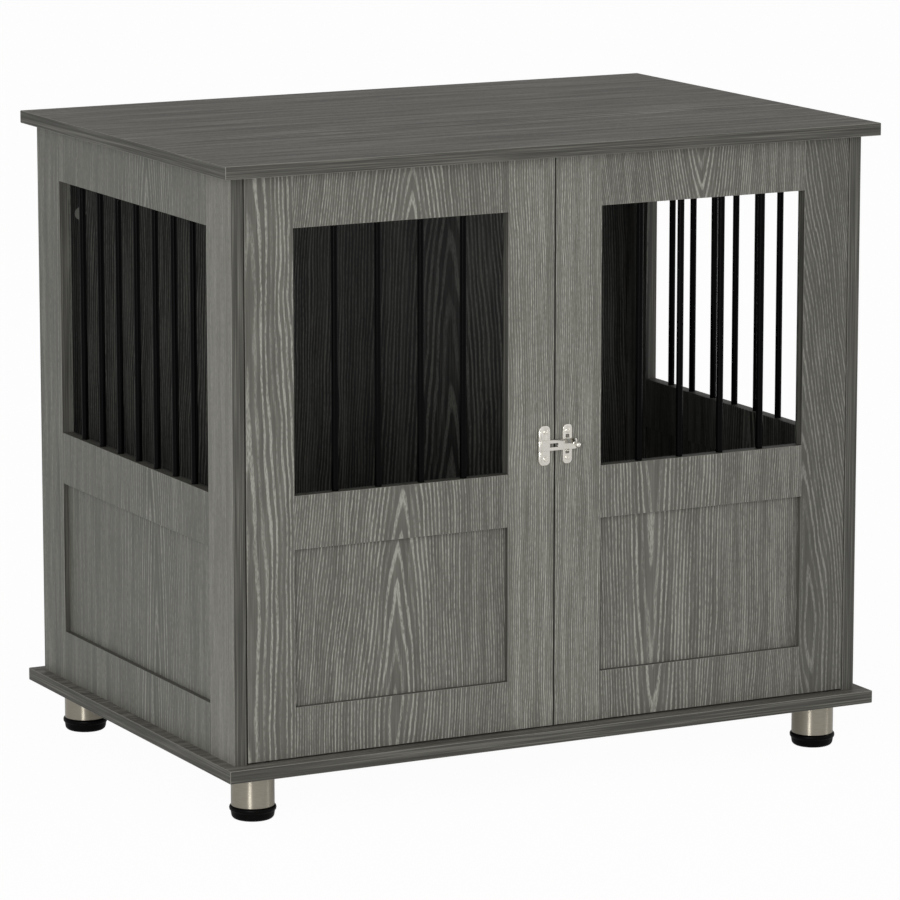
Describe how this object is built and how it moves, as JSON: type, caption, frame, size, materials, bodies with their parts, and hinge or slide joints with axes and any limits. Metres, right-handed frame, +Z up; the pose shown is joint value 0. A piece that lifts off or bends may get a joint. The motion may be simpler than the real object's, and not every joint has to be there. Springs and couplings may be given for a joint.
{
  "type": "pet crate",
  "caption": "Cabinet-style pet crate that serves as a side table, with barred windows, double doors on pivots, a flip latch and tube feet.",
  "frame": {"origin": "on the floor, under the middle of the overall box", "axes": "+X along the width, to the right as seen from the front; +Y from the doors to the back; +Z up"},
  "size_m": [0.85, 0.58, 0.756],
  "materials": {
    "grey_wood_foil": "dark grey wood-grain foil with embossed grain on 15 mm board",
    "black_steel": "satin black powder coat on round steel bar",
    "brushed_tube": "brushed stainless tube",
    "black_plastic": "moulded black polypropylene",
    "black_nylon": "black nylon",
    "bright_nickel": "bright nickel plate on pressed steel",
    "zinc_plate": "zinc plate",
    "beech_dowel": "plain fluted beech"
  },
  "bodies": {
    "carcass": {"back_panel": "grey_wood_foil", "base_board": "grey_wood_foil", "cam_bolts": "zinc_plate", "cam_locks": "zinc_plate", "foot_caps": "black_plastic", "foot_studs": "zinc_plate", "front_left_foot_tube": "brushed_tube", "front_right_foot_tube": "brushed_tube", "insert_nuts": "zinc_plate", "left_side_bars": "black_steel", "left_side_bottom_rail": "grey_wood_foil", "left_side_dowels": "beech_dowel", "left_side_front_stile": "grey_wood_foil", "left_side_infill": "grey_wood_foil", "left_side_mid_rail": "grey_wood_foil", "left_side_rear_stile": "grey_wood_foil", "left_side_top_rail": "grey_wood_foil", "magnetic_catch": "black_plastic", "pivot_bushes": "black_nylon", "rear_left_foot_tube": "brushed_tube", "rear_right_foot_tube": "brushed_tube", "right_side_bars": "black_steel", "right_side_bottom_rail": "grey_wood_foil", "right_side_dowels": "beech_dowel", "right_side_front_stile": "grey_wood_foil", "right_side_infill": "grey_wood_foil", "right_side_mid_rail": "grey_wood_foil", "right_side_rear_stile": "grey_wood_foil", "right_side_top_rail": "grey_wood_foil", "top_board": "grey_wood_foil"},
    "left_door": {"latch_pin": "bright_nickel", "latch_plate": "bright_nickel", "latch_plate_screws": "bright_nickel", "left_door_bars": "black_steel", "left_door_bottom_rail": "grey_wood_foil", "left_door_dowels": "beech_dowel", "left_door_hinge_stile": "grey_wood_foil", "left_door_infill": "grey_wood_foil", "left_door_meeting_stile": "grey_wood_foil", "left_door_mid_rail": "grey_wood_foil", "left_door_pivot_pins": "zinc_plate", "left_door_strike": "zinc_plate", "left_door_top_rail": "grey_wood_foil"},
    "right_door": {"latch_keeper": "bright_nickel", "latch_keeper_screws": "bright_nickel", "right_door_bars": "black_steel", "right_door_bottom_rail": "grey_wood_foil", "right_door_dowels": "beech_dowel", "right_door_hinge_stile": "grey_wood_foil", "right_door_infill": "grey_wood_foil", "right_door_meeting_stile": "grey_wood_foil", "right_door_mid_rail": "grey_wood_foil", "right_door_pivot_pins": "zinc_plate", "right_door_strike": "zinc_plate", "right_door_top_rail": "grey_wood_foil"},
    "latch_arm": {"latch_arm": "bright_nickel", "latch_knob": "bright_nickel"}
  },
  "joints": [
    {"name": "left_door_hinge", "type": "hinge", "parent": "carcass", "child": "left_door", "pos_m": [-0.3713, -0.2625, 0.406], "axis": [0, 0, -1], "range_deg": [0, 110]},
    {"name": "right_door_hinge", "type": "hinge", "parent": "carcass", "child": "right_door", "pos_m": [0.3713, -0.2625, 0.406], "axis": [0, 0, 1], "range_deg": [0, 110]},
    {"name": "latch_flip", "type": "hinge", "parent": "left_door", "child": "latch_arm", "pos_m": [-0.021, -0.27265, 0.405], "axis": [0, 0, -1], "range_deg": [0, 155]}
  ]
}
